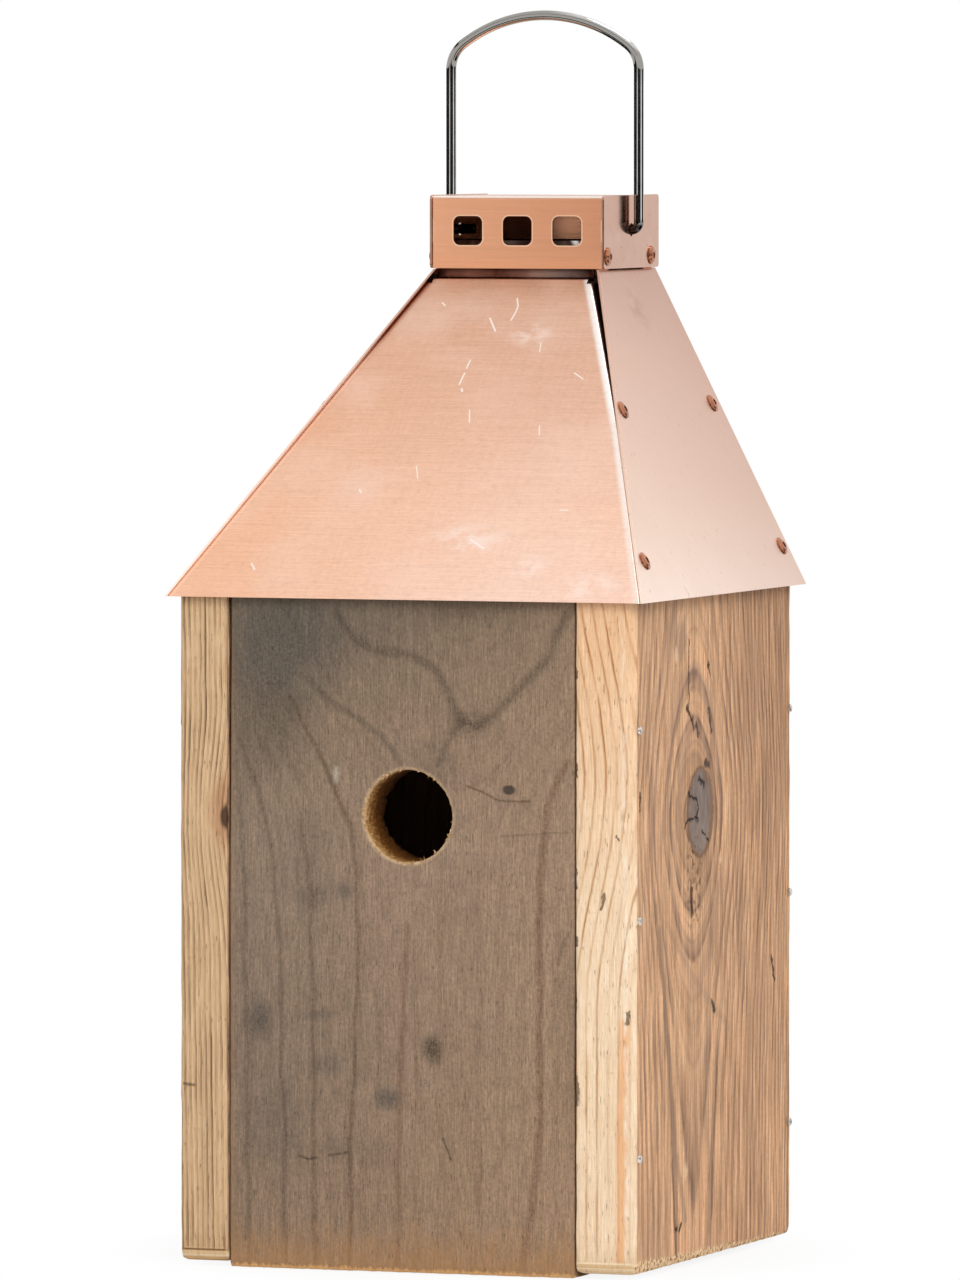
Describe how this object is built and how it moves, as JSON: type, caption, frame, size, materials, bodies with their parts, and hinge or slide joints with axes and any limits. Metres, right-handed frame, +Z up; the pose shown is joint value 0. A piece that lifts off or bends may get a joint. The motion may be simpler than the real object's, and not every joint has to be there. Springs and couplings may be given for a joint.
{
  "type": "birdhouse",
  "caption": "Board nest box with a round entrance, a hipped sheet-copper hood riveted at its hips, a vented copper collar on top and a swinging wire bail handle.",
  "frame": {"origin": "On the surface the box stands on, under the middle of the hood's outline.", "axes": "+Z up, -Y out through the entrance at the front, +X to the right as one faces the entrance."},
  "size_m": [0.1752, 0.1746, 0.4342],
  "materials": {
    "grey_weathered_board": "weathered, unfinished",
    "brown_weathered_board": "weathered, unfinished",
    "inner_board": "sawn, unfinished",
    "brushed_copper": "brushed",
    "satin_copper": "satin",
    "warm_copper": "satin",
    "polished_copper": "polished",
    "rivet_copper": "dulled",
    "bright_wire": "polished",
    "dull_steel": "weathered"
  },
  "bodies": {
    "house": {"front_board": "grey_weathered_board", "side_board_left": "brown_weathered_board", "side_board_right": "brown_weathered_board", "back_board": "inner_board", "floor_board": "inner_board", "floor_cleat_left": "inner_board", "floor_cleat_right": "inner_board", "hood_front_panel": "brushed_copper", "hood_back_panel": "brushed_copper", "hood_side_panel_left": "satin_copper", "hood_side_panel_right": "satin_copper", "collar_channel": "warm_copper", "collar_plate_left": "polished_copper", "collar_plate_right": "polished_copper", "hood_rivets_left": "rivet_copper", "hood_rivets_right": "rivet_copper", "collar_rivets_left": "rivet_copper", "collar_rivets_right": "rivet_copper", "nails_left_front": "dull_steel", "nails_left_rear": "dull_steel", "nails_right_front": "dull_steel", "nails_right_rear": "dull_steel", "cleat_nails": "dull_steel", "floor_screws": "dull_steel", "hood_screws": "dull_steel"},
    "bail": {"bail_handle": "bright_wire"}
  },
  "joints": [
    {"name": "bail_swing", "type": "hinge", "parent": "house", "child": "bail", "pos_m": [0, 0.05755, 0.357], "axis": [1, 0, 0], "range_deg": [-98, 98]}
  ]
}
